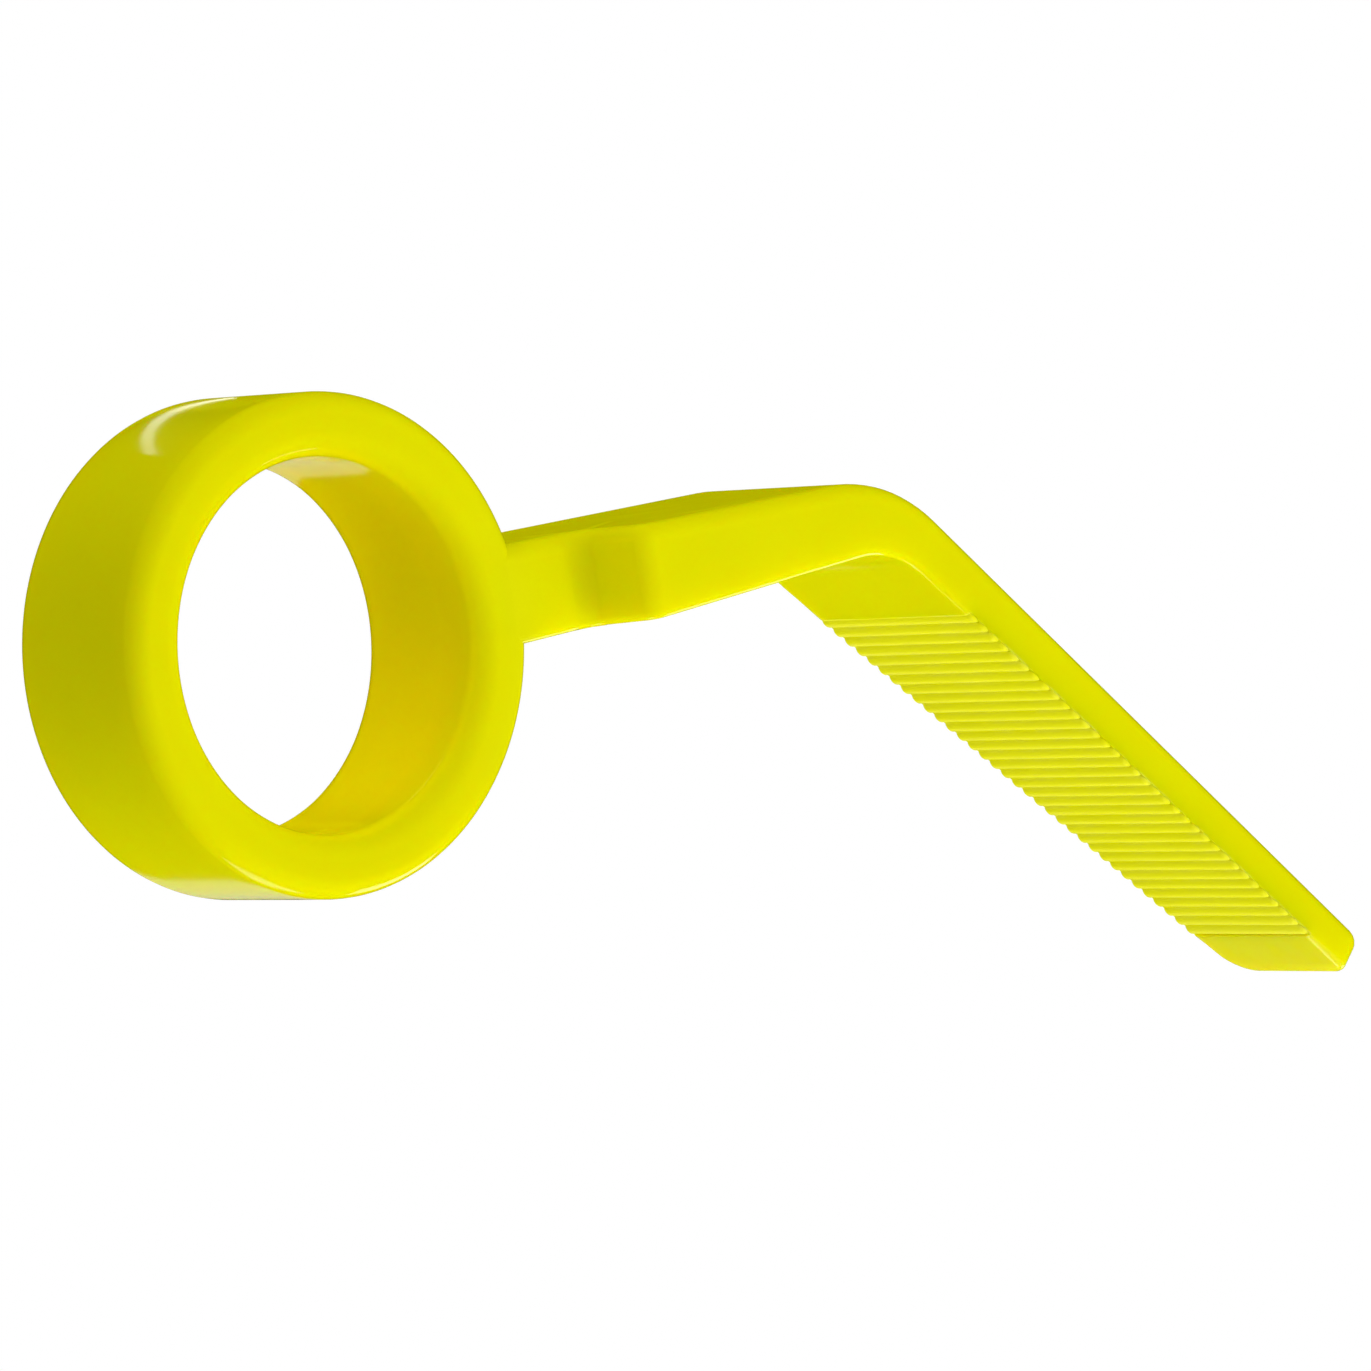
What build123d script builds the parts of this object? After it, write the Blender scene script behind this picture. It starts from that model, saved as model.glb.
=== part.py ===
from build123d import *
import os
from math import cos, radians, sin, tan

# Finger lift for a plug-in phono cartridge, moulded in one piece of plastic: a round collar,
# a lever that grows out of its side, and a row of small cross ribs under the lever's paddle.
# Millimetres. The origin is the middle of the collar's bore. +Y runs along the bore, away from
# the face that the lever is flush with, +X runs towards the paddle and +Z is up.

# Collar
COLLAR_RADIUS = 6.0
BORE_RADIUS = 4.45
COLLAR_WIDTH = 4.75
FRONT_RIM_ROUNDING = 0.5       # outer edge of the front face
FRONT_BORE_ROUNDING = 0.55     # bore edge of the front face
BACK_RIM_ROUNDING = 0.6
BACK_BORE_ROUNDING = 0.8

# Lever, side outline: heights on the collar's centre line and the slopes from there
TOP_START_Z = 1.55             # line of the neck's top, carried back to X = 0
TOP_RISE = 10.3                # degrees
NECK_UNDER_START_Z = -1.11     # line of the neck's underside, carried back to X = 0
NECK_UNDER_RISE = 12.1
ARM_UNDER_RISE = 14.1          # the underside steepens at the jog
JOG_X = 7.85
BEND_TOP_X = 16.07             # corner of the top outline before it is rounded
BEND_UNDER_X = 16.17
PADDLE_TOP_FALL = 34.9
PADDLE_UNDER_FALL = 33.9
BEND_TOP_RADIUS = 4.4
BEND_UNDER_RADIUS = 2.6
PADDLE_LENGTH = 18.9           # underside, from the corner of the bend to the tip

# Lever, plan outline
NECK_FRONT_Y = -2.33           # just behind the collar's front face
ARM_FRONT_Y = -4.2
BACK_Y = 1.5
JOG_LEAN = 0.55                # how far the jog's face runs back over its depth
JOG_INNER_ROUNDING = 0.6
JOG_OUTER_ROUNDING = 0.5
TAPER_START = 1.5              # along the paddle's underside
TIP_BACK_Y = -0.1
TIP_BACK_ROUNDING = 1.0
TIP_FRONT_ROUNDING = 0.4
TOP_EDGE_ROUNDING = 0.4
UNDER_EDGE_ROUNDING = 0.2

# Cross ribs under the paddle, in a shallow pocket, so that they end flush with its underside
RIB_COUNT = 34
RIB_PITCH = 0.42
FIRST_RIB = 3.09               # along the paddle's underside
RIB_ROUNDING = 0.23
RIB_HEIGHT = 0.09
RIB_END_GAP = 0.08             # from a rib's end to the paddle's side

ROOT_X = 4.9                   # the lever starts inside the collar's wall and is then hollowed to it
OVERSIZE = 8.0                 # cutting shapes reach this far past the plastic
TOUCH = 1e-3
FLAT_ENOUGH = 0.7              # a face is upper or lower when its normal leans this far up or down


def height(start_z, rise, x):
    """Height at x of a line that crosses X = 0 at start_z and rises by an angle."""
    return start_z + x * tan(radians(rise))


jog_under = (JOG_X, height(NECK_UNDER_START_Z, NECK_UNDER_RISE, JOG_X))
arm_under_start_z = jog_under[1] - JOG_X * tan(radians(ARM_UNDER_RISE))
bend_top = (BEND_TOP_X, height(TOP_START_Z, TOP_RISE, BEND_TOP_X))
bend_under = (BEND_UNDER_X, height(arm_under_start_z, ARM_UNDER_RISE, BEND_UNDER_X))


def down_the_paddle(corner, fall, length):
    """Point at a length from a corner of the bend, on a line that falls by an angle."""
    return (corner[0] + length * cos(radians(fall)), corner[1] - length * sin(radians(fall)))


near_tip_x = down_the_paddle(bend_under, PADDLE_UNDER_FALL, PADDLE_LENGTH - 1)[0]


def rim_of(faces):
    """Edges of the faces, without the creases that cross the lever short of its tip."""
    def crosses_the_lever(edge):
        return abs(edge.tangent_at(0.5).Y) > 1 - TOUCH and edge.center().X < near_tip_x
    return faces.edges().filter_by(lambda edge: not crosses_the_lever(edge))


# Plane of the paddle's underside: its X runs down the paddle to the tip, its Y is the model's Y
paddle_plane = Plane(
    origin=(bend_under[0], 0, bend_under[1]),
    x_dir=(cos(radians(PADDLE_UNDER_FALL)), 0, -sin(radians(PADDLE_UNDER_FALL))),
    z_dir=(sin(radians(PADDLE_UNDER_FALL)), 0, cos(radians(PADDLE_UNDER_FALL))),
)
# Plane along the neck, through the underside at the jog
neck_plane = Plane(
    origin=(jog_under[0], 0, jog_under[1]),
    x_dir=(cos(radians(NECK_UNDER_RISE)), 0, sin(radians(NECK_UNDER_RISE))),
    z_dir=(-sin(radians(NECK_UNDER_RISE)), 0, cos(radians(NECK_UNDER_RISE))),
)


# The collar's outer shape with no bore, which hollows the lever's root
with BuildPart() as collar_blank:
    with BuildSketch(Plane.XY) as blank_section:
        with Locations((COLLAR_RADIUS / 2, 0)):
            Rectangle(COLLAR_RADIUS, COLLAR_WIDTH)
        fillet(blank_section.vertices().group_by(Axis.Y)[0].sort_by(Axis.X)[-1], FRONT_RIM_ROUNDING)
        fillet(blank_section.vertices().group_by(Axis.Y)[-1].sort_by(Axis.X)[-1], BACK_RIM_ROUNDING)
    revolve(axis=Axis.Y)

with BuildPart() as collar_ring:
    with BuildSketch(Plane.XY) as collar_section:
        with Locations(((BORE_RADIUS + COLLAR_RADIUS) / 2, 0)):
            Rectangle(COLLAR_RADIUS - BORE_RADIUS, COLLAR_WIDTH)
        fillet(collar_section.vertices().group_by(Axis.Y)[0].sort_by(Axis.X)[-1], FRONT_RIM_ROUNDING)
        fillet(collar_section.vertices().group_by(Axis.Y)[0].sort_by(Axis.X)[0], FRONT_BORE_ROUNDING)
        fillet(collar_section.vertices().group_by(Axis.Y)[-1].sort_by(Axis.X)[-1], BACK_RIM_ROUNDING)
        fillet(collar_section.vertices().group_by(Axis.Y)[-1].sort_by(Axis.X)[0], BACK_BORE_ROUNDING)
    revolve(axis=Axis.Y)

collar_ring.part.label = "collar_ring"

with BuildPart() as lever:
    # The side outline, as wide as the arm
    with BuildSketch(Plane.XZ.offset(-BACK_Y)) as side_outline:
        with BuildLine():
            Polyline(
                (ROOT_X, height(TOP_START_Z, TOP_RISE, ROOT_X)),
                bend_top,
                down_the_paddle(bend_top, PADDLE_TOP_FALL, PADDLE_LENGTH + OVERSIZE),
                down_the_paddle(bend_under, PADDLE_UNDER_FALL, PADDLE_LENGTH + OVERSIZE),
                bend_under,
                jog_under,
                (ROOT_X, height(NECK_UNDER_START_Z, NECK_UNDER_RISE, ROOT_X)),
                close=True,
            )
        make_face()
        fillet(side_outline.vertices().sort_by_distance(bend_top)[0], BEND_TOP_RADIUS)
        fillet(side_outline.vertices().sort_by_distance(bend_under)[0], BEND_UNDER_RADIUS)
    extrude(amount=BACK_Y - ARM_FRONT_Y)
    # The jog: the neck is cut back on the front, square to its own run
    with BuildSketch(neck_plane) as jog_outline:
        with BuildLine():
            Polyline(
                (-OVERSIZE, NECK_FRONT_Y),
                (0, NECK_FRONT_Y),
                (JOG_LEAN, ARM_FRONT_Y),
                (JOG_LEAN + JOG_OUTER_ROUNDING, ARM_FRONT_Y),
                (JOG_LEAN + JOG_OUTER_ROUNDING, ARM_FRONT_Y - OVERSIZE),
                (-OVERSIZE, ARM_FRONT_Y - OVERSIZE),
                close=True,
            )
        make_face()
        fillet(jog_outline.vertices().sort_by_distance((0, NECK_FRONT_Y))[0], JOG_INNER_ROUNDING)
        fillet(jog_outline.vertices().sort_by_distance((JOG_LEAN, ARM_FRONT_Y))[0], JOG_OUTER_ROUNDING)
    extrude(amount=OVERSIZE, both=True, mode=Mode.SUBTRACT)
    # The paddle's plan: a straight front side, a tapering back side and a rounded tip
    with BuildSketch(paddle_plane) as paddle_surround:
        with BuildLine():
            Polyline(
                (TAPER_START, BACK_Y),
                (PADDLE_LENGTH, TIP_BACK_Y),
                (PADDLE_LENGTH, ARM_FRONT_Y),
                (TAPER_START, ARM_FRONT_Y),
                (TAPER_START, ARM_FRONT_Y - OVERSIZE),
                (PADDLE_LENGTH + 2 * OVERSIZE, ARM_FRONT_Y - OVERSIZE),
                (PADDLE_LENGTH + 2 * OVERSIZE, BACK_Y + OVERSIZE),
                (TAPER_START, BACK_Y + OVERSIZE),
                close=True,
            )
        make_face()
        tip_back = paddle_surround.vertices().sort_by_distance((PADDLE_LENGTH, TIP_BACK_Y))[0]
        fillet(tip_back, TIP_BACK_ROUNDING)
        tip_front = paddle_surround.vertices().sort_by_distance((PADDLE_LENGTH, ARM_FRONT_Y))[0]
        fillet(tip_front, TIP_FRONT_ROUNDING)
    extrude(amount=OVERSIZE / 2, both=True, mode=Mode.SUBTRACT)

    # Soft edges: the rims of the upper and lower faces, but not the creases that cross them
    upper_faces = lever.faces().filter_by(lambda face: face.normal_at().Z > FLAT_ENOUGH)
    fillet(rim_of(upper_faces), TOP_EDGE_ROUNDING)
    lower_faces = lever.faces().filter_by(lambda face: face.normal_at().Z < -FLAT_ENOUGH)
    fillet(rim_of(lower_faces), UNDER_EDGE_ROUNDING)
    # The shallow pocket that the ribs stand in, open at both sides
    with BuildSketch(paddle_plane.offset(-OVERSIZE / 2)) as pocket_plan:
        with Locations((FIRST_RIB + RIB_PITCH * (RIB_COUNT - 1) / 2, 0)):
            Rectangle(RIB_PITCH * RIB_COUNT, OVERSIZE * 2)
    extrude(amount=OVERSIZE / 2 + RIB_HEIGHT, mode=Mode.SUBTRACT)
    # The root fits the collar's outer face
    add(collar_blank.part, mode=Mode.SUBTRACT)

lever.part.label = "lever"


rib_centres = [(FIRST_RIB + RIB_PITCH * number, RIB_ROUNDING) for number in range(RIB_COUNT)]

with BuildPart() as grip_ribs:
    # Round bars across the paddle, seen from its side
    side_of_paddle = Plane(paddle_plane.origin, x_dir=paddle_plane.x_dir, z_dir=(0, -1, 0))
    with BuildSketch(side_of_paddle.offset(-BACK_Y)) as rib_rounds:
        with Locations(*rib_centres):
            Circle(RIB_ROUNDING)
    extrude(amount=BACK_Y - ARM_FRONT_Y - RIB_END_GAP)
    # Trimmed to the paddle's tapering plan
    with BuildSketch(paddle_plane) as rib_plan:
        with BuildLine():
            Polyline(
                (0, BACK_Y - RIB_END_GAP),
                (TAPER_START, BACK_Y - RIB_END_GAP),
                (PADDLE_LENGTH, TIP_BACK_Y - RIB_END_GAP),
                (PADDLE_LENGTH, ARM_FRONT_Y),
                (0, ARM_FRONT_Y),
                close=True,
            )
        make_face()
    extrude(amount=RIB_ROUNDING * 2, both=True, mode=Mode.INTERSECT)
    # Only what stands out of the pocket's floor is rib
    add(lever.part, mode=Mode.SUBTRACT)

grip_ribs.part.label = "grip_ribs"

os.makedirs("parts", exist_ok=True)
for piece in (collar_ring.part, lever.part, grip_ribs.part):
    export_step(piece, f"parts/{piece.label}.step")
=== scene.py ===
"""Finger lift for a plug-in phono cartridge: one yellow plastic moulding and a plain studio round it.

Everything is in metres. The origin is the middle of the collar's bore, +Y runs along the bore away from
the face that the lever is flush with, +X runs towards the paddle and +Z is up.
"""
from math import atan2, cos, pi, radians, sin, tan

import bmesh
import bpy
from mathutils import Matrix, Vector


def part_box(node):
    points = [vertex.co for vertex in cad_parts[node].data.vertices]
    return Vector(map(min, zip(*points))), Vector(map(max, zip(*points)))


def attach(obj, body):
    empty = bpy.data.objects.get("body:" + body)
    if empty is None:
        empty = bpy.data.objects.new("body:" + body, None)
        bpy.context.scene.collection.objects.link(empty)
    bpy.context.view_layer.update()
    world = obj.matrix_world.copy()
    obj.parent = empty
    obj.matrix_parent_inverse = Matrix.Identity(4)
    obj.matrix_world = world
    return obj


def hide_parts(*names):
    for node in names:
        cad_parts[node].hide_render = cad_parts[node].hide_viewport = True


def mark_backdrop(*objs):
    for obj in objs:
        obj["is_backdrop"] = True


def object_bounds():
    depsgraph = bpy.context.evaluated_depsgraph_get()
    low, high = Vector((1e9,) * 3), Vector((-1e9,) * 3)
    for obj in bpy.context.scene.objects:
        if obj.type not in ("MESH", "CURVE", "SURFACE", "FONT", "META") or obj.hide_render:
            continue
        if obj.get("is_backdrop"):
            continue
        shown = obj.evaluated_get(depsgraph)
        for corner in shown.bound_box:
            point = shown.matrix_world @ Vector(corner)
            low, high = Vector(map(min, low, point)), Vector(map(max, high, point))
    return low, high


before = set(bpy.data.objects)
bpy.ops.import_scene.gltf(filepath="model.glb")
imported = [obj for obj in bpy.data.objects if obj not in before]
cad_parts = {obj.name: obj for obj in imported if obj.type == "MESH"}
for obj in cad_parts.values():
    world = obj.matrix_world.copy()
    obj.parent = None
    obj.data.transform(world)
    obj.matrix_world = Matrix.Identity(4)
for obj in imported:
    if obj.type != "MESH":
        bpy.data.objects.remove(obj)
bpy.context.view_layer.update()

bl_info = {
    "name": "Phono cartridge finger lift",
    "version": (1, 0, 0),
    "blender": (4, 5, 0),
    "location": "3D View > Sidebar > Finger lift",
    "description": "Models a moulded finger lift, its plastic and a plain studio",
    "category": "Object",
}

MM = 0.001
BODY = "root"
DOUBLES = 0.0003 * MM                 # vertices nearer than this are one vertex
NEAR = 0.001 * MM                     # a vertex this near to a plane lies on it
SMOOTH_BELOW = radians(32)            # a sharper turn between two faces is a crisp edge
SAME_PLANE = radians(0.5)             # faces that turn less than this are one face
FACING = 0.7                          # a face looks one way when its normal has this much of that way in it

# Faces across each rounding
BEND_STEPS = 12
JOG_STEPS = 7
TIP_STEPS = 8
TOP_EDGE_STEPS = 6
UNDER_EDGE_STEPS = 4
RIB_END_STEPS = 4

COLLAR_LOW, COLLAR_HIGH = (Vector(corner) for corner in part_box("collar_ring"))
LEVER_LOW, LEVER_HIGH = (Vector(corner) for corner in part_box("lever"))


# ------------------------------------------------------------------ sizes and colours that a user may change

def length(name, description, default):
    return bpy.props.FloatProperty(name=name, description=description, default=default,
                                   unit="LENGTH", subtype="DISTANCE", precision=5)


def angle(name, description, degrees):
    return bpy.props.FloatProperty(name=name, description=description, default=radians(degrees),
                                   unit="ROTATION", subtype="ANGLE")


def amount(name, description, default, most=1.0):
    return bpy.props.FloatProperty(name=name, description=description, default=default,
                                   min=0.0, max=most, subtype="FACTOR")


def count(name, description, default):
    return bpy.props.IntProperty(name=name, description=description, default=default, min=1)


def place(name, description, default):
    return bpy.props.FloatVectorProperty(name=name, description=description, default=default,
                                         unit="LENGTH", subtype="TRANSLATION", precision=5)


def colour(name, description, default):
    return bpy.props.FloatVectorProperty(name=name, description=description, default=default,
                                         size=4, min=0.0, max=1.0, subtype="COLOR")


class CollarSizes(bpy.types.PropertyGroup):
    outer_radius: length("Outer radius", "Outer wall of the collar", (COLLAR_HIGH.x - COLLAR_LOW.x) / 2)
    bore_radius: length("Bore radius", "Hole that the cartridge's plug passes through", 4.45 * MM)
    width: length("Width", "Length of the collar along its bore", COLLAR_HIGH.y - COLLAR_LOW.y)
    front_rim: length("Front rim", "Rounding of the front face's outer edge", 0.5 * MM)
    front_bore: length("Front bore edge", "Rounding of the front face's inner edge", 0.6 * MM)
    back_rim: length("Back rim", "Rounding of the back face's outer edge", 0.6 * MM)
    back_bore: length("Back bore edge", "Rounding of the back face's inner edge", 0.8 * MM)
    turns: count("Turn steps", "Steps of the spin round the bore", 192)
    corner_steps: count("Corner steps", "Faces across each rounded edge", 9)
    wall_cuts: count("Wall cuts", "Cuts across the flat stretches of the wall", 6)


class LeverSizes(bpy.types.PropertyGroup):
    top_height: length("Top height", "Line of the neck's top, carried back to the bore's middle", 1.55 * MM)
    top_rise: angle("Top rise", "Slope of the neck's and arm's top", 10.3)
    under_height: length("Underside height", "Line of the neck's underside, carried back too", -1.11 * MM)
    neck_rise: angle("Neck rise", "Slope of the neck's underside", 12.1)
    arm_rise: angle("Arm rise", "Slope of the arm's underside, beyond the jog", 14.1)
    root_x: length("Root", "Where the neck starts, inside the collar's wall", 5.15 * MM)
    jog_x: length("Jog", "Where the neck steps forward to the arm", 7.85 * MM)
    bend_top_x: length("Bend, top", "Corner of the top outline before it is rounded", 16.07 * MM)
    bend_under_x: length("Bend, underside", "Corner of the under outline before it is rounded", 16.17 * MM)
    bend_top_radius: length("Bend radius, top", "Rounding of the bend's top", 4.4 * MM)
    bend_under_radius: length("Bend radius, underside", "Rounding of the bend's underside", 2.6 * MM)
    paddle_top_fall: angle("Paddle top fall", "Slope of the paddle's top", 34.9)
    paddle_under_fall: angle("Paddle underside fall", "Slope of the paddle's underside", 33.9)
    paddle_length: length("Paddle length", "Underside, from the corner of the bend to the tip", 18.9 * MM)
    neck_front: length("Neck front", "Front face of the neck", COLLAR_LOW.y + 0.002 * MM)
    arm_front: length("Arm front", "Front face of the arm and paddle", LEVER_LOW.y)
    back: length("Back", "Back face of the lever", LEVER_HIGH.y)
    jog_lean: length("Jog lean", "How far the jog's face runs back over its depth", 0.55 * MM)
    jog_inner: length("Jog inner rounding", "Hollow corner of the jog", 0.6 * MM)
    jog_outer: length("Jog outer rounding", "Outer corner of the jog", 0.5 * MM)
    taper_start: length("Taper start", "Where the back starts to taper, along the paddle", 1.5 * MM)
    tip_back: length("Tip back", "Back corner of the tip, before it is rounded", -0.1 * MM)
    tip_back_rounding: length("Tip back rounding", "Rounding of the tip's back corner", 1.0 * MM)
    tip_front_rounding: length("Tip front rounding", "Rounding of the tip's front corner", 0.46 * MM)
    top_edge: length("Top edge", "Rounding of the rim of the top", 0.4 * MM)
    under_edge: length("Under edge", "Rounding of the rim of the underside", 0.2 * MM)
    face_length: length("Face length", "Length of the faces that the lever is divided into", 0.6 * MM)
    clear_before: length("Clear before jog", "No dividing cut comes nearer on the neck's side", 0.6 * MM)
    clear_after: length("Clear after jog", "No dividing cut comes nearer on the arm's side", 1.8 * MM)


class RibSizes(bpy.types.PropertyGroup):
    number: count("Ribs", "Cross ribs under the paddle", 34)
    pitch: length("Pitch", "From one rib to the next", 0.42 * MM)
    first: length("First rib", "Middle of the first rib, along the paddle's underside", 3.09 * MM)
    rounding: length("Rounding", "Radius of a rib's back", 0.282 * MM)
    height: length("Height", "How deep the pocket is that the ribs stand in", 0.09 * MM)
    root: length("Root", "How far a rib goes into the pocket's floor", 0.003 * MM)
    end_gap: length("End gap", "From a rib's end to the paddle's side", 0.003 * MM)
    front_rounding: length("Front rounding", "Rounding of a rib's front end", 0.16 * MM)
    back_rounding: length("Back rounding", "Rounding of a rib's back end", 0.04 * MM)
    facets: count("Facets", "Sides of the round bar that a rib is cut from", 40)


class PlasticLook(bpy.types.PropertyGroup):
    base: colour("Colour", "Yellow of the plastic", (0.82, 0.81, 0.0, 1.0))
    dusky: colour("Deeper colour", "Yellow where the pigment lies thicker", (0.79, 0.77, 0.0, 1.0))
    # Also the colour of the painted sheen under the tip.
    rubbed: colour("Rubbed colour", "Yellow of a worn edge", (0.84, 0.83, 0.12, 1.0))
    # Painted bounce light: the bore is painted more orange, standing in for light that goes to and fro in it.
    core: colour("Bore colour", "Yellow of the bore, where light goes to and fro", (0.95, 0.82, 0.0, 1.0))
    painted_bounce_radius: length("Bore colour radius", "How far from the bore's axis that colour reaches", 4.5 * MM)
    painted_bounce_fade: length("Bore colour fade", "How far beyond that radius it fades out", 0.25 * MM)
    painted_bounce_front: length("Bore colour front", "Where that colour starts, along Y", -2.3 * MM)
    painted_bounce_full: length("Bore colour full", "Where that colour is full, along Y", -0.8 * MM)
    # Painted fill light: the full yellow that the ribs are turned towards, to lift the shade between them.
    filled: colour("Filled colour", "Yellow of a rib that light fills from both sides", (1.0, 1.0, 0.0, 1.0))
    flow: amount("Flow", "Strength of the flow marks along the lever", 0.35)
    grain: amount("Grain", "Strength of the fine grains", 0.35)
    wear: amount("Wear", "How pale the rubbed edges are", 0.35)
    # Painted sheen under the tip: a painted reflection of the bright light below.
    painted_sheen: amount("Handled tip", "How pale the handled tip is", 0.2)
    painted_sheen_from: length("Handled from", "Where the handled tip starts, along X", 29.4 * MM)
    painted_sheen_full: length("Handled full", "Where the handled tip is at its palest, along X", 30.4 * MM)
    edge_reach: length("Edge reach", "How far from a sharp edge the wear reaches", 0.12 * MM)
    edge_polish: amount("Edge polish", "How much smoother a rubbed edge is", 0.06)
    gloss_roughness: amount("Roughness", "Roughness of the glossy skin", 0.09)
    thin_roughness: amount("Rib roughness", "Roughness of the small ribs, which are polished less", 0.3)
    gloss_drift: amount("Gloss drift", "How much the roughness varies", 0.05)
    specular: amount("Specular", "Strength of the skin's reflections", 0.4)
    thin_specular: amount("Rib specular", "Strength of the small ribs' reflections", 0.1)
    # Share of painted fill light on the ribs.
    rib_painted_fill: amount("Rib fill", "How far the ribs turn to the filled colour", 0.4)
    relief: amount("Relief", "Strength of the fine relief", 0.1)
    relief_height: length("Relief height", "Height of the fine relief", 0.01 * MM)
    soak: amount("Soak", "Share of the light that soaks in", 0.8)
    soak_depth: length("Soak depth", "How deep the light soaks in", 0.9 * MM)
    root_radius: length("Root radius", "How far from the bore's axis the neck meets the collar", 5.7 * MM)
    root_clear: length("Root clear", "No light soaks in nearer than this to that meeting", 0.2 * MM)
    root_full: length("Root full", "Beyond this from that meeting, all of it soaks in", 0.7 * MM)


class StudioSizes(bpy.types.PropertyGroup):
    aim: place("Aim", "Point that the camera looks at", (7.37 * MM, -6.38 * MM, -0.91 * MM))
    azimuth: angle("Azimuth", "Side that the camera stands on, from the front", -41.0)
    elevation: angle("Elevation", "Height of the camera above the horizon", -1.48)
    distance: length("Distance", "From the camera to the aim", 213.6 * MM)
    lens: bpy.props.FloatProperty(name="Lens", description="Focal length in millimetres", default=236.3,
                                  subtype="DISTANCE_CAMERA")
    sensor: bpy.props.FloatProperty(name="Sensor", description="Sensor width in millimetres", default=36.0,
                                    subtype="DISTANCE_CAMERA")
    room: amount("Room light", "Even light from all round", 0.5)
    key: amount("Cards", "Strength of the cards that shade the object", 0.98, 10.0)
    gloss: amount("Gloss cards", "Strength of the cards that only show in the gloss", 1.0, 10.0)
    card_away: length("Card distance", "From the origin to each square card", 0.3)
    card_size: length("Card size", "Side of each card that shades the object", 0.2)
    floor_drop: length("Floor drop", "Gap from the lowest point to the floor", 6.0 * MM)
    floor_radius: length("Floor radius", "Radius of the round floor", 0.6)
    backdrop_radius: length("Backdrop radius", "Radius of the dome round everything", 0.9)


# ------------------------------------------------------------------ small helpers

def slope(rise):
    """Unit vector in the side plane that rises by an angle from +X."""
    return Vector((cos(rise), 0, sin(rise)))


def on_line(height, rise, x):
    """Point at x on the line that crosses the bore's middle at a height and rises by an angle."""
    return Vector((x, 0, height + x * tan(rise)))


def rounded(before, corner, after, radius, steps):
    """Points of the arc that rounds a corner between two straight runs."""
    back, on = (before - corner).normalized(), (after - corner).normalized()
    half = back.angle(on) / 2
    centre = corner + (back + on).normalized() * radius / sin(half)
    start, end = corner + back * radius / tan(half) - centre, corner + on * radius / tan(half) - centre
    return [centre + start.slerp(end, step / steps).normalized() * radius for step in range(steps + 1)]


def reach(radius, turn):
    """How far along each side a rounding of a radius starts, on a corner that turns by an angle."""
    return radius * tan(turn / 2)


def new_plane(name):
    """Adds a plane of unit size with nothing else selected, and opens it in edit mode."""
    bpy.ops.object.select_all(action="DESELECT")
    bpy.ops.mesh.primitive_plane_add(size=1)
    obj = bpy.context.object
    obj.name = obj.data.name = name
    bpy.ops.object.mode_set(mode="EDIT")
    return obj


def select(obj, kind, wanted):
    """Selects in edit mode the vertices, edges or faces of obj for which wanted says yes."""
    bpy.ops.mesh.select_mode(type=kind)
    bpy.ops.mesh.select_all(action="DESELECT")
    mesh = bmesh.from_edit_mesh(obj.data)
    mesh.normal_update()
    parts = {"VERT": mesh.verts, "EDGE": mesh.edges, "FACE": mesh.faces}[kind]
    found = [part for part in parts if wanted(part)]
    if not found:
        raise RuntimeError(f"{obj.name}: nothing to select")
    for part in found:
        part.select_set(True)
    mesh.select_flush_mode()
    bmesh.update_edit_mesh(obj.data)


def cut(point, normal, **more):
    """Bisects everything in edit mode by a plane."""
    bpy.ops.mesh.select_all(action="SELECT")
    bpy.ops.mesh.bisect(plane_co=point, plane_no=normal, threshold=NEAR, **more)


def round_edges(offset, segments, affect="EDGES"):
    """Rounds what is selected. The offset is how far along each side the rounding starts."""
    bpy.ops.mesh.bevel(offset_type="OFFSET", offset=offset, segments=segments, profile=0.5, affect=affect,
                       clamp_overlap=False)


def move(step):
    bpy.ops.transform.translate(value=step)


def extrude(step):
    bpy.ops.mesh.extrude_region_move(TRANSFORM_OT_translate={"value": step})


def tidy_mesh():
    """Merges doubles and turns every face outwards."""
    bpy.ops.mesh.select_all(action="SELECT")
    bpy.ops.mesh.remove_doubles(threshold=DOUBLES)
    bpy.ops.mesh.normals_make_consistent(inside=False)


def apply_modifier(obj, kind, **settings):
    """Gives the active object one modifier and makes its result the mesh."""
    modifier = obj.modifiers.new(kind.title(), kind)
    for name, value in settings.items():
        setattr(modifier, name, value)
    bpy.ops.object.modifier_apply(modifier=modifier.name)


def finish_piece(obj, material, node):
    """Smooths a finished mesh, gives it its material and puts it in the place of its CAD node."""
    bpy.ops.object.mode_set(mode="OBJECT")
    bpy.ops.object.shade_smooth_by_angle(angle=SMOOTH_BELOW)
    apply_modifier(obj, "WEIGHTED_NORMAL", keep_sharp=True, weight=60)
    obj.data.materials.clear()
    obj.data.materials.append(material)
    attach(obj, BODY)
    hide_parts(node)


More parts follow.
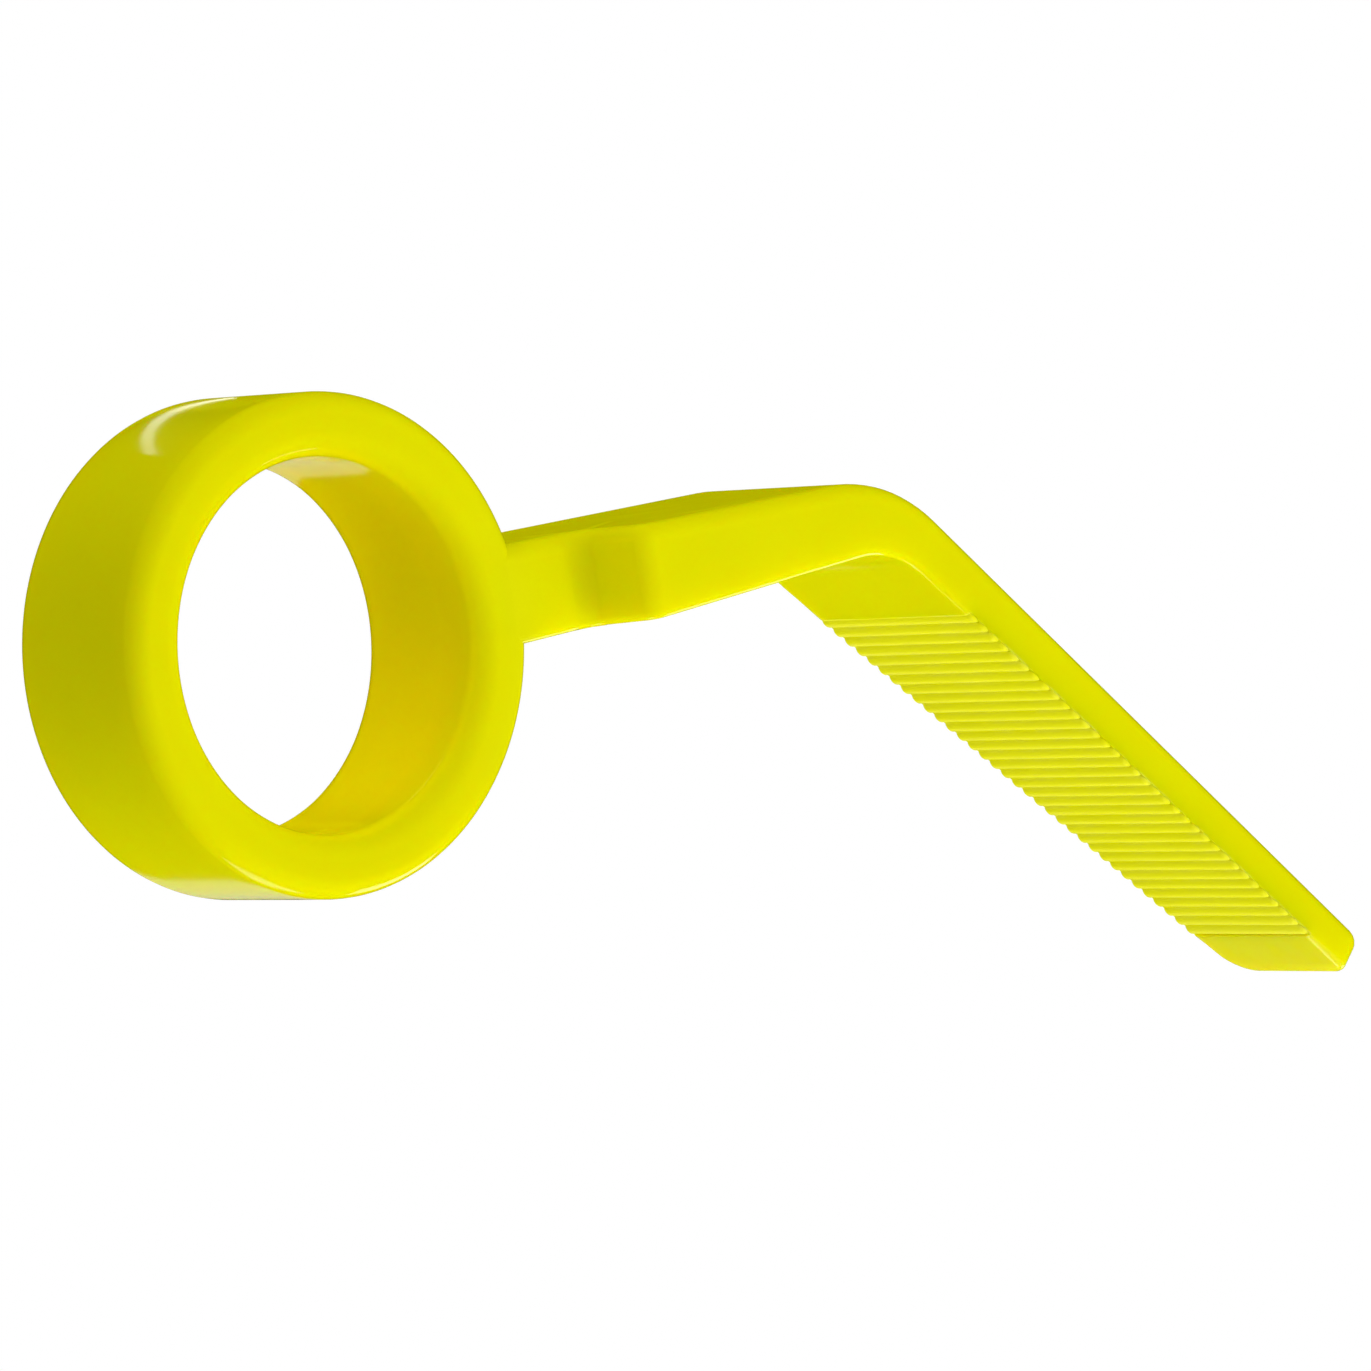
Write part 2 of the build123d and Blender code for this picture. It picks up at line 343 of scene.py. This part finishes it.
class LeverLines:
    """Points and directions of the lever's side outline, worked out from its sizes."""

    def __init__(self, sizes):
        self.root_top = on_line(sizes.top_height, sizes.top_rise, sizes.root_x)
        self.root_under = on_line(sizes.under_height, sizes.neck_rise, sizes.root_x)
        self.jog_top = on_line(sizes.top_height, sizes.top_rise, sizes.jog_x)
        self.jog_under = on_line(sizes.under_height, sizes.neck_rise, sizes.jog_x)
        arm_run = (sizes.bend_under_x - sizes.jog_x) / cos(sizes.arm_rise)
        self.bend_top = on_line(sizes.top_height, sizes.top_rise, sizes.bend_top_x)
        self.bend_under = self.jog_under + slope(sizes.arm_rise) * arm_run
        # Directions: along the neck, down the paddle's underside, and square to that into the paddle
        self.neck = slope(sizes.neck_rise)
        self.down = slope(-sizes.paddle_under_fall)
        self.into = Vector((sin(sizes.paddle_under_fall), 0, cos(sizes.paddle_under_fall)))
        # The tip's end is square to the paddle's underside
        self.tip_under = self.bend_under + self.down * sizes.paddle_length
        top = slope(-sizes.paddle_top_fall)
        top_run = (self.tip_under - self.bend_top).dot(self.down) / top.dot(self.down)
        self.tip_top = self.bend_top + top * top_run

    def past_jog(self, point):
        """How far a point lies beyond the jog, along the neck."""
        return (point - self.jog_under).dot(self.neck)

    def down_paddle(self, point):
        """How far a point lies from the bend, down the paddle's underside."""
        return (point - self.bend_under).dot(self.down)

    def in_paddle(self, point):
        """How deep a point lies in the paddle, from its underside."""
        return (point - self.bend_under).dot(self.into)

    def at_tip(self, point):
        """Says whether a point lies on the tip's end."""
        return (point - self.tip_under).dot(self.down) > -NEAR


# ------------------------------------------------------------------ material

class Net:
    """Shorthand for adding nodes to a material and joining them."""

    def __init__(self, material):
        material.use_nodes = True
        self.nodes, self.links = material.node_tree.nodes, material.node_tree.links

    def add(self, kind, settings=None, **inputs):
        """Adds a node. An input is named by its label, with _ for a space. It is a value or an output."""
        node = self.nodes.new("ShaderNode" + kind)
        for name, value in (settings or {}).items():
            setattr(node, name, value)
        for name, value in inputs.items():
            self.feed(node.inputs[name.replace("_", " ")], value)
        return node

    def feed(self, socket, value):
        if isinstance(value, bpy.types.NodeSocket):
            self.links.new(value, socket)
        else:
            socket.default_value = value

    def math(self, operation, *values):
        node = self.nodes.new("ShaderNodeMath")
        node.operation = operation
        for socket, value in zip(node.inputs, values):
            self.feed(socket, value)
        return node.outputs[0]

    def product(self, first, *others):
        for other in others:
            first = self.math("MULTIPLY", first, other)
        return first

    def ranged(self, value, low, high, at_low, at_high):
        """Turns a value that goes from low to high into one from at_low to at_high, and keeps it there."""
        node = self.add("MapRange", Value=value, From_Min=low, From_Max=high, To_Min=at_low, To_Max=at_high)
        return node.outputs[0]

    def mixed(self, factor, one, other):
        """Mixes two colours. The node's sockets for colours come after those for numbers and vectors."""
        node = self.add("Mix", {"data_type": "RGBA"}, Factor=factor)
        self.feed(node.inputs[6], one)
        self.feed(node.inputs[7], other)
        return node.outputs[2]

    def stretched(self, place, along, turn=0.0):
        """Draws a pattern out along X, to 1 / along times its length there, turned in plan by an angle."""
        return self.add("Mapping", Vector=place, Scale=(along, 1.0, 1.0), Rotation=(0, 0, turn)).outputs[0]

    def noise(self, place, size, detail, roughness=0.5):
        """Noise whose features are about one size across, in metres."""
        node = self.add("TexNoise", Vector=place, Scale=1 / size, Detail=detail, Roughness=roughness)
        return node.outputs["Fac"]

    def patches(self, place, size, detail, low, high, least=0.0, most=1.0, roughness=0.5):
        """Noise as patches: least where it is under low, most where it is over high."""
        return self.ranged(self.noise(place, size, detail, roughness), low, high, least, most)


def from_bore_axis(net, axes):
    """Distance from the bore's axis, which is Y."""
    squares = [net.math("MULTIPLY", axes[axis], axes[axis]) for axis in "XZ"]
    return net.math("SQRT", net.math("ADD", *squares))


def pigment(net, look, here):
    """Slow drift of the pigment, flow marks along the lever and fine grains."""
    drift = net.patches(here, size=5.0 * MM, detail=3.0, low=0.35, high=0.65)
    flow = net.patches(net.stretched(here, along=0.16), size=0.7 * MM, detail=4.0, low=0.35, high=0.7,
                       most=look.flow, roughness=0.6)
    grain = net.patches(here, size=0.05 * MM, detail=1.0, low=0.3, high=0.7, most=look.grain)
    tone = net.mixed(drift, look.dusky, look.base)
    tone = net.mixed(flow, tone, look.dusky)
    return net.mixed(grain, tone, look.dusky)


def painted_bounce_share(net, look, axes, from_axis):
    """Share of the painted bounce light, an orange tone that stands in for light going to and fro in the
    bore: full inside the bore, none outside and at its front edge.
    """
    near_axis = net.ranged(from_axis, look.painted_bounce_radius, look.painted_bounce_radius + look.painted_bounce_fade, 1.0, 0.0)
    behind_front = net.ranged(axes["Y"], look.painted_bounce_front, look.painted_bounce_full, 0.0, 1.0)
    return net.product(near_axis, behind_front)


def rubbed_edges(net, look, here):
    """Patches along sharp edges, where a rounded normal and the true one lean apart."""
    lean = net.add("VectorMath", {"operation": "DOT_PRODUCT"})
    net.feed(lean.inputs[0], net.add("Bevel", {"samples": 6}, Radius=look.edge_reach).outputs[0])
    net.feed(lean.inputs[1], net.add("NewGeometry").outputs["Normal"])
    worn = net.ranged(lean.outputs["Value"], low=0.995, high=0.9, at_low=0.0, at_high=1.0)
    return net.product(worn, net.patches(here, size=0.8 * MM, detail=3.0, low=0.4, high=0.62))


def painted_tip_sheen(net, look, here, axes):
    """Painted sheen: pale patches under the tip, where the underside would reflect the bright light below it.
    """
    tip = net.ranged(axes["X"], look.painted_sheen_from, look.painted_sheen_full, 0.0, look.painted_sheen)
    patchy = net.patches(here, size=0.5 * MM, detail=4.0, low=0.3, high=0.6, least=0.5)
    normal = net.add("SeparateXYZ", Vector=net.add("NewGeometry").outputs["Normal"]).outputs
    underneath = net.ranged(normal["Z"], low=-0.6, high=-0.2, at_low=1.0, at_high=0.0)
    return net.product(tip, patchy, underneath)


def skin_roughness(net, look, here, rubbed, roughness):
    """Uneven skin with handling smears and polished edges."""
    smear = net.patches(here, size=1.6 * MM, detail=5.0, low=0.3, high=0.75, least=-0.5, roughness=0.65)
    uneven = net.math("MULTIPLY_ADD", smear, look.gloss_drift, roughness)
    return net.math("MULTIPLY_ADD", rubbed, -look.edge_polish, uneven)


def fine_relief(net, look, here):
    """Faint orange peel, the mould's fine grain and hair scratches along the lever."""
    peel = net.noise(here, size=0.55 * MM, detail=2.0)
    fine = net.noise(here, size=0.06 * MM, detail=3.0)
    hair = net.patches(net.stretched(here, along=0.05, turn=radians(9)), size=0.035 * MM, detail=1.0,
                       low=0.62, high=0.72, most=-1.0)
    height = peel
    for part, share in ((fine, 0.3), (hair, 0.05)):
        height = net.math("MULTIPLY_ADD", part, share, height)
    bump = net.add("Bump", Strength=look.relief, Distance=look.relief_height, Height=height)
    return bump.outputs["Normal"]


def soaking(net, look, axes, from_axis):
    """Share of the light that soaks in. There is none at the neck's root, so that no dark seam shows."""
    from_root = net.math("ABSOLUTE", net.math("SUBTRACT", from_axis, look.root_radius))
    clear_of_root = net.ranged(from_root, look.root_clear, look.root_full, 0.0, 1.0)
    no_neck_here = net.ranged(axes["X"], low=4.0 * MM, high=5.0 * MM, at_low=1.0, at_high=0.0)
    return net.product(net.math("MAXIMUM", clear_of_root, no_neck_here), look.soak)


# How deep red, green and blue light soak in, as shares of the whole depth
SOAK_BY_COLOUR = (1.0, 0.65, 0.1)


def yellow_plastic(look, thick=True):
    """Semi-gloss moulded plastic. A thin piece is duller and no light soaks into it, and it is painted paler
    as painted fill light in the shade between the ribs.
    """
    name = "yellow_plastic_skin" if thick else "yellow_plastic_thin"
    if name in bpy.data.materials:
        return bpy.data.materials[name]
    material = bpy.data.materials.new(name)
    net = Net(material)
    shader = net.nodes["Principled BSDF"].inputs
    here = net.add("TexCoord").outputs["Object"]
    axes = net.add("SeparateXYZ", Vector=here).outputs
    from_axis = from_bore_axis(net, axes)
    rubbed = rubbed_edges(net, look, here)

    tone = pigment(net, look, here)
    # Painted fill light: the ribs are painted paler, to lift the shade between them.
    if not thick:
        tone = net.mixed(look.rib_painted_fill, tone, look.filled)
    # Painted bounce light: the bore is turned to a more orange tone.
    tone = net.mixed(painted_bounce_share(net, look, axes, from_axis), tone, look.core)
    # Paler on worn edges, and under the tip, where a painted sheen stands in for a reflection.
    pale = net.math("MAXIMUM", net.product(rubbed, look.wear), painted_tip_sheen(net, look, here, axes))
    net.feed(shader["Base Color"], net.mixed(pale, tone, look.rubbed))

    roughness = look.gloss_roughness if thick else look.thin_roughness
    net.feed(shader["Roughness"], skin_roughness(net, look, here, rubbed, roughness))
    net.feed(shader["Specular IOR Level"], look.specular if thick else look.thin_specular)
    net.feed(shader["Normal"], fine_relief(net, look, here))
    if thick:
        net.feed(shader["Subsurface Weight"], soaking(net, look, axes, from_axis))
        net.feed(shader["Subsurface Radius"], SOAK_BY_COLOUR)
        net.feed(shader["Subsurface Scale"], look.soak_depth)
    return material


# ------------------------------------------------------------------ pieces

class FINGERLIFT_OT_collar(bpy.types.Operator):
    """Model the round collar that the cartridge's plug passes through"""
    bl_idname = "fingerlift.collar"
    bl_label = "Model collar"

    def execute(self, context):
        sizes = context.scene.fingerlift_collar
        wall = sizes.outer_radius - sizes.bore_radius
        middle = Vector((sizes.bore_radius + wall / 2, 0, 0))
        obj = new_plane("moulded_collar")
        bpy.ops.transform.resize(value=(wall, sizes.width, 1))
        move(middle)
        # The wall's section: each corner gets its own rounding
        for outwards, back, rounding in ((1, -1, sizes.front_rim), (-1, -1, sizes.front_bore),
                                         (1, 1, sizes.back_rim), (-1, 1, sizes.back_bore)):
            corner = middle + Vector((outwards * wall, back * sizes.width, 0)) / 2
            select(obj, "VERT", lambda vertex: (vertex.co - corner).length < NEAR)
            round_edges(rounding, sizes.corner_steps, affect="VERTICES")
        bpy.ops.mesh.select_all(action="SELECT")
        bpy.ops.mesh.delete(type="ONLY_FACE")
        # The long straight runs are divided, so that the spun faces are near square
        select(obj, "EDGE", lambda edge: edge.calc_length() > sizes.width / 2)
        bpy.ops.mesh.subdivide(number_cuts=sizes.wall_cuts)
        bpy.ops.mesh.select_all(action="SELECT")
        bpy.ops.mesh.spin(steps=sizes.turns, angle=2 * pi, center=(0, 0, 0), axis=(0, 1, 0))
        tidy_mesh()
        finish_piece(obj, yellow_plastic(context.scene.fingerlift_plastic), "collar_ring")
        return {"FINISHED"}


def draw_side(sizes, lines):
    """Walks the side outline from the root's top round the tip and back, and draws it forward."""
    over = rounded(lines.root_top, lines.bend_top, lines.tip_top, sizes.bend_top_radius, BEND_STEPS)
    under = rounded(lines.tip_under, lines.bend_under, lines.jog_under, sizes.bend_under_radius, BEND_STEPS)
    outline = [lines.root_top, *over, lines.tip_top,
               lines.tip_under, *under, lines.jog_under, lines.root_under]
    obj = new_plane("moulded_lever")
    bpy.ops.mesh.select_mode(type="VERT")
    bpy.ops.mesh.merge(type="CENTER")
    move(outline[0] + Vector((0, sizes.back, 0)))
    for here, there in zip(outline, outline[1:]):
        bpy.ops.mesh.extrude_vertices_move(TRANSFORM_OT_translate={"value": there - here})
    bpy.ops.mesh.select_all(action="SELECT")
    bpy.ops.mesh.edge_face_add()
    extrude((0, sizes.neck_front - sizes.back, 0))
    tidy_mesh()
    return obj


def form_jog(obj, sizes, lines):
    """Beyond the jog the front is drawn out to the arm's face, and the step between them leans."""
    cut(lines.jog_under, lines.neck)
    select(obj, "FACE", lambda face: face.normal.y < -FACING and
           lines.past_jog(face.calc_center_median()) > 0)
    extrude((0, sizes.arm_front - sizes.neck_front, 0))

    half_way = (lines.jog_top.z + lines.jog_under.z) / 2
    for above, rise in ((True, sizes.top_rise), (False, sizes.arm_rise)):
        select(obj, "VERT", lambda vertex: vertex.co.y < sizes.arm_front + NEAR and
               abs(lines.past_jog(vertex.co)) < NEAR and (vertex.co.z > half_way) == above)
        move(slope(rise) * sizes.jog_lean)

    def upright_at(front):
        """Chooses the edge between the step and the front face that lies at front."""
        a_little_over_lean = sizes.jog_lean * 1.1

        def wanted(edge):
            one, other = (vertex.co for vertex in edge.verts)
            on_front = all(abs(point.y - front) < NEAR for point in (one, other))
            on_step = all(abs(lines.past_jog(point)) < a_little_over_lean for point in (one, other))
            return on_front and on_step and abs(one.z - other.z) > MM
        return wanted
    step_turn = pi / 2 - atan2(sizes.jog_lean, sizes.neck_front - sizes.arm_front)
    for front, rounding in ((sizes.neck_front, sizes.jog_inner), (sizes.arm_front, sizes.jog_outer)):
        select(obj, "EDGE", upright_at(front))
        round_edges(reach(rounding, step_turn), JOG_STEPS)


def form_paddle(obj, sizes, lines):
    """The paddle tapers at the back, and the tip's two corners are rounded."""
    cut(lines.bend_under + lines.down * sizes.taper_start, lines.down)
    select(obj, "VERT", lambda vertex: vertex.co.y > sizes.back - NEAR and lines.at_tip(vertex.co))
    move((0, sizes.tip_back - sizes.back, 0))
    taper = atan2(sizes.back - sizes.tip_back, sizes.paddle_length - sizes.taper_start)
    for side, rounding, turn in ((sizes.tip_back, sizes.tip_back_rounding, pi / 2 - taper),
                                 (sizes.arm_front, sizes.tip_front_rounding, pi / 2)):
        select(obj, "EDGE", lambda edge: all(
            abs(vertex.co.y - side) < NEAR and lines.at_tip(vertex.co) for vertex in edge.verts))
        round_edges(reach(rounding, turn), TIP_STEPS)


def cut_pocket(obj, sizes, ribs, lines):
    """Takes out of the paddle's underside the shallow pocket that the ribs stand in."""
    run = ribs.pitch * ribs.number
    wider_than_paddle, deeper_than_pocket = 20 * MM, 2 * MM
    bpy.ops.object.mode_set(mode="OBJECT")
    # The cutter is made lying along X with one edge at the origin, then turned and moved into place
    cutter = new_plane("pocket_cutter")
    move((0.5, 0, 0))
    bpy.ops.transform.resize(value=(run, wider_than_paddle, 1), center_override=(0, 0, 0))
    extrude((0, 0, -deeper_than_pocket))
    tidy_mesh()
    bpy.ops.mesh.select_all(action="SELECT")
    bpy.ops.transform.rotate(value=-sizes.paddle_under_fall, orient_axis="Y", center_override=(0, 0, 0))
    move(lines.bend_under + lines.down * (ribs.first - ribs.pitch / 2) + lines.into * ribs.height)
    bpy.ops.object.mode_set(mode="OBJECT")
    bpy.ops.object.select_all(action="DESELECT")
    obj.select_set(True)
    bpy.context.view_layer.objects.active = obj
    apply_modifier(obj, "BOOLEAN", operation="DIFFERENCE", solver="EXACT", object=cutter)
    bpy.data.objects.remove(cutter)
    bpy.ops.object.mode_set(mode="EDIT")
    tidy_mesh()
    bpy.ops.mesh.select_all(action="SELECT")
    bpy.ops.mesh.dissolve_limited(angle_limit=SAME_PLANE)


def soften_rims(obj, sizes, ribs, lines):
    """Rounds the rims of the top and of the underside, but not of the pocket."""
    def on_floor(point):
        return abs(lines.in_paddle(point) - ribs.height) < NEAR

    def rim(up):
        """Chooses the edges round the upper faces, with up 1, or round the lower ones, with up -1."""
        def wanted(edge):
            one, other = (vertex.co for vertex in edge.verts)
            crosses = abs(one.y - other.y) > (one - other).length - NEAR
            looks_so = [face.normal.z * up > FACING for face in edge.link_faces]
            of_pocket = on_floor(one) and on_floor(other)
            return looks_so.count(True) == 1 and (lines.at_tip(one) or not crosses) and not of_pocket
        return wanted
    select(obj, "EDGE", rim(1))
    round_edges(sizes.top_edge, TOP_EDGE_STEPS)
    select(obj, "EDGE", rim(-1))
    round_edges(sizes.under_edge, UNDER_EDGE_STEPS)
    tidy_mesh()


def divide_lever(sizes, ribs, lines):
    """Cuts across the whole lever, so that its faces are near square."""
    bpy.ops.mesh.select_all(action="SELECT")
    bpy.ops.mesh.vert_connect_concave()
    run = (sizes.bend_under_x - sizes.root_x) / cos(sizes.neck_rise)
    for number in range(1, int(run / sizes.face_length)):
        along = sizes.face_length * number
        if not -sizes.clear_before < lines.root_under.x + along - sizes.jog_x < sizes.clear_after:
            cut(lines.root_under + lines.neck * along, lines.neck)
    # The paddle's cuts lie half way between the ribs, and go on at the same pitch before the first rib
    for number in range(int(sizes.paddle_length / ribs.pitch)):
        cut(lines.bend_under + lines.down * (ribs.first + ribs.pitch * (number - 2.5)), lines.down)
    tidy_mesh()


class FINGERLIFT_OT_lever(bpy.types.Operator):
    """Model the lever: neck, jog, arm, bend and paddle"""
    bl_idname = "fingerlift.lever"
    bl_label = "Model lever"

    def execute(self, context):
        sizes, ribs = context.scene.fingerlift_lever, context.scene.fingerlift_ribs
        lines = LeverLines(sizes)
        obj = draw_side(sizes, lines)
        form_jog(obj, sizes, lines)
        form_paddle(obj, sizes, lines)
        cut_pocket(obj, sizes, ribs, lines)
        soften_rims(obj, sizes, ribs, lines)
        divide_lever(sizes, ribs, lines)
        finish_piece(obj, yellow_plastic(context.scene.fingerlift_plastic), "lever")
        return {"FINISHED"}


class FINGERLIFT_OT_ribs(bpy.types.Operator):
    """Model one grip rib and copy it down the paddle's underside"""
    bl_idname = "fingerlift.ribs"
    bl_label = "Model grip ribs"

    def execute(self, context):
        sizes, ribs = context.scene.fingerlift_lever, context.scene.fingerlift_ribs
        lines = LeverLines(sizes)
        front, back = sizes.arm_front + ribs.end_gap, sizes.back - ribs.end_gap
        middle = lines.bend_under + lines.down * ribs.first + lines.into * ribs.rounding
        middle.y = (front + back) / 2
        bpy.ops.object.select_all(action="DESELECT")
        bpy.ops.mesh.primitive_cylinder_add(vertices=ribs.facets, radius=ribs.rounding, depth=back - front,
                                            rotation=(pi / 2, 0, 0))
        obj = context.object
        obj.name = obj.data.name = "moulded_ribs"
        bpy.ops.object.transform_apply(location=True, rotation=True, scale=True)
        bpy.ops.object.mode_set(mode="EDIT")
        bpy.ops.mesh.select_all(action="SELECT")
        move(middle)
        for end, rounding in ((front, ribs.front_rounding), (back, ribs.back_rounding)):
            select(obj, "EDGE", lambda edge: all(abs(vertex.co.y - end) < NEAR for vertex in edge.verts))
            round_edges(rounding, RIB_END_STEPS)
        # Only the low part of the round bar is kept
        top = lines.bend_under + lines.into * (ribs.height + ribs.root)
        cut(top, lines.into, clear_outer=True, use_fill=True)
        bpy.ops.mesh.select_all(action="SELECT")
        for number in range(1, ribs.number):
            bpy.ops.mesh.duplicate_move(TRANSFORM_OT_translate={"value": lines.down * ribs.pitch})
        # Each rib's back end is drawn in to the tapering side
        fall = (sizes.back - sizes.tip_back) / (sizes.paddle_length - sizes.taper_start)
        for number in range(ribs.number):
            centre = ribs.first + ribs.pitch * number
            select(obj, "VERT", lambda vertex: vertex.co.y > sizes.tip_back and
                   abs(lines.down_paddle(vertex.co) - centre) < ribs.pitch / 2)
            move((0, -fall * (centre - sizes.taper_start), 0))
        bpy.ops.mesh.select_all(action="SELECT")
        bpy.ops.mesh.normals_make_consistent(inside=False)
        finish_piece(obj, yellow_plastic(context.scene.fingerlift_plastic, thick=False), "grip_ribs")
        return {"FINISHED"}


# ------------------------------------------------------------------ stage

WHITE, STRAW = (1, 1, 1), (1, 0.95, 0)
CLIP_NEAR, CLIP_FAR = 5 * MM, 5
# Cards that shade the object: name, direction from the origin, watts
SHADING_CARDS = (
    ("front_high", (0, -1, 0.6), 0.303),
    ("below", (0, 0, -1), 0.37),
    ("back_high", (0, 1, 1), 0.259),
    ("front_low", (1, -1, -1), 0.329),
    ("back_low", (1, 1, -1), 0.417),
)
# Cards that only show in the gloss: name, direction from the origin, side in metres, watts, tint
GLOSS_CARDS = (
    ("gloss_below", (0.25, 0.2, -0.95), 0.12, 0.08, WHITE),
    ("gloss_front_low", (0.8, 0.1, -0.58), 0.1, 0.08, WHITE),
    ("gloss_far_side", (0.62, 0.75, 0.2), 0.14, 0.021, STRAW),
)


def white_stage(name):
    """Even white that can be looked through from its back."""
    material = bpy.data.materials.new(name)
    net = Net(material)
    net.nodes.clear()
    glow = net.add("Emission", Color=(1, 1, 1, 1), Strength=1.0).outputs[0]
    clear = net.add("BsdfTransparent").outputs[0]
    both = net.add("MixShader", Fac=net.add("NewGeometry").outputs["Backfacing"])
    net.feed(both.inputs[1], glow)
    net.feed(both.inputs[2], clear)
    net.add("OutputMaterial", Surface=both.outputs[0])
    return material


def soft_card(name, place, facing, wide, high, watts, gloss_only, tint=WHITE):
    """An area light that the camera doesn't see, for the object's shading or for its gloss alone."""
    light = bpy.data.lights.new(name, "AREA")
    light.shape = "RECTANGLE"
    light.size, light.size_y = wide, high
    light.energy = watts
    light.color = tint
    lamp = bpy.data.objects.new(name, light)
    bpy.context.scene.collection.objects.link(lamp)
    lamp.location = place
    lamp.rotation_euler = facing.to_euler()
    lamp.visible_camera = False
    lamp.visible_diffuse, lamp.visible_glossy = not gloss_only, gloss_only


def square_card(name, towards, away, side, watts, gloss_only, tint=WHITE):
    """A square card that faces the origin from one direction."""
    towards = Vector(towards).normalized()
    soft_card(name, towards * away, towards.to_track_quat("Z", "Y"), side, side, watts, gloss_only, tint)


def strip_card(name, start, end, target, high, watts):
    """A narrow card from one point to another, turned to a target, which shows in the gloss as one streak."""
    middle, along = (start + end) / 2, (end - start).normalized()
    back = (middle - target).normalized()
    back = (back - along * back.dot(along)).normalized()
    facing = Matrix((along, back.cross(along), back)).transposed().to_quaternion()
    soft_card(name, middle, facing, (end - start).length, high, watts, gloss_only=True)


def add_camera(scene, sizes):
    level = cos(sizes.elevation)
    back = Vector((sin(sizes.azimuth) * level, -cos(sizes.azimuth) * level, sin(sizes.elevation)))
    camera = bpy.data.objects.new("camera", bpy.data.cameras.new("camera"))
    scene.collection.objects.link(camera)
    camera.location = Vector(sizes.aim) + back * sizes.distance
    camera.rotation_euler = (pi / 2 - sizes.elevation, 0, sizes.azimuth)
    camera.data.lens = sizes.lens
    camera.data.sensor_width = sizes.sensor
    camera.data.clip_start, camera.data.clip_end = CLIP_NEAR, CLIP_FAR
    scene.camera = camera


def add_floor_and_backdrop(context, sizes):
    """A round floor and a dome. Only the camera sees them, so they neither light nor shade the object."""
    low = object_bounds()[0]
    bpy.ops.object.select_all(action="DESELECT")
    bpy.ops.mesh.primitive_circle_add(vertices=64, radius=sizes.floor_radius, fill_type="NGON",
                                      location=(0, 0, low.z - sizes.floor_drop))
    floor = context.object
    floor.name = "floor"
    bpy.ops.mesh.primitive_uv_sphere_add(segments=48, ring_count=24, radius=sizes.backdrop_radius)
    dome = context.object
    dome.name = "backdrop"
    bpy.ops.object.mode_set(mode="EDIT")
    bpy.ops.mesh.select_all(action="SELECT")
    bpy.ops.mesh.flip_normals()
    bpy.ops.object.mode_set(mode="OBJECT")
    for obj in (floor, dome):
        obj.data.materials.append(white_stage(obj.name + "_white"))
        obj.visible_diffuse = obj.visible_glossy = obj.visible_transmission = False
        obj.visible_shadow = False
    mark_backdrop(floor, dome)


def add_room_light(scene, strength):
    """Even light from all round, which doesn't show in the gloss."""
    world = bpy.data.worlds.new("soft_room")
    scene.world = world
    world.use_nodes = True
    room = world.node_tree.nodes["Background"].inputs
    room["Color"].default_value = (1, 1, 1, 1)
    room["Strength"].default_value = strength
    world.cycles_visibility.glossy = False


def add_cards(sizes):
    for name, towards, watts in SHADING_CARDS:
        square_card(name, towards, sizes.card_away, sizes.card_size, watts * sizes.key, gloss_only=False)
    for name, towards, side, watts, tint in GLOSS_CARDS:
        square_card(name, towards, sizes.card_away, side, watts * sizes.gloss, gloss_only=True, tint=tint)
    strip_card("gloss_streak", start=Vector((-3.1, 6.5, 9.7)) * MM, end=Vector((3.6, 6.4, 7.3)) * MM,
               target=Vector((-2.5, -0.5, 5.4)) * MM, high=0.3 * MM, watts=8e-6 * sizes.gloss)
    strip_card("gloss_back_low", start=Vector((0.129, 0.231, -0.138)), end=Vector((0.18, 0.237, -0.036)),
               target=Vector((0, 0, 0)), high=0.05, watts=0.0085 * sizes.gloss)


class FINGERLIFT_OT_studio(bpy.types.Operator):
    """Set up the plain floor, the backdrop, the soft lights and the camera"""
    bl_idname = "fingerlift.studio"
    bl_label = "Set up studio"

    def execute(self, context):
        scene = context.scene
        sizes = scene.fingerlift_studio
        scene.view_settings.view_transform = "Standard"
        add_camera(scene, sizes)
        add_floor_and_backdrop(context, sizes)
        add_room_light(scene, sizes.room)
        add_cards(sizes)
        return {"FINISHED"}


class FINGERLIFT_PT_panel(bpy.types.Panel):
    """Lists the pieces and the studio"""
    bl_idname = "FINGERLIFT_PT_panel"
    bl_label = "Finger lift"
    bl_space_type = "VIEW_3D"
    bl_region_type = "UI"
    bl_category = "Finger lift"

    def draw(self, context):
        for operator in OPERATORS:
            self.layout.operator(operator.bl_idname)
        for name, group in GROUPS.items():
            box = self.layout.box()
            for prop in group.__annotations__:
                box.prop(getattr(context.scene, name), prop)


GROUPS = {
    "fingerlift_collar": CollarSizes,
    "fingerlift_lever": LeverSizes,
    "fingerlift_ribs": RibSizes,
    "fingerlift_plastic": PlasticLook,
    "fingerlift_studio": StudioSizes,
}
OPERATORS = (FINGERLIFT_OT_collar, FINGERLIFT_OT_lever, FINGERLIFT_OT_ribs, FINGERLIFT_OT_studio)


def register():
    for group in (*GROUPS.values(), *OPERATORS, FINGERLIFT_PT_panel):
        bpy.utils.register_class(group)
    for name, group in GROUPS.items():
        setattr(bpy.types.Scene, name, bpy.props.PointerProperty(type=group))


def unregister():
    for name in GROUPS:
        delattr(bpy.types.Scene, name)
    for group in (FINGERLIFT_PT_panel, *OPERATORS, *GROUPS.values()):
        bpy.utils.unregister_class(group)


def main():
    register()
    bpy.ops.fingerlift.collar()
    bpy.ops.fingerlift.lever()
    bpy.ops.fingerlift.ribs()
    bpy.ops.fingerlift.studio()


if __name__ == "__main__":
    main()
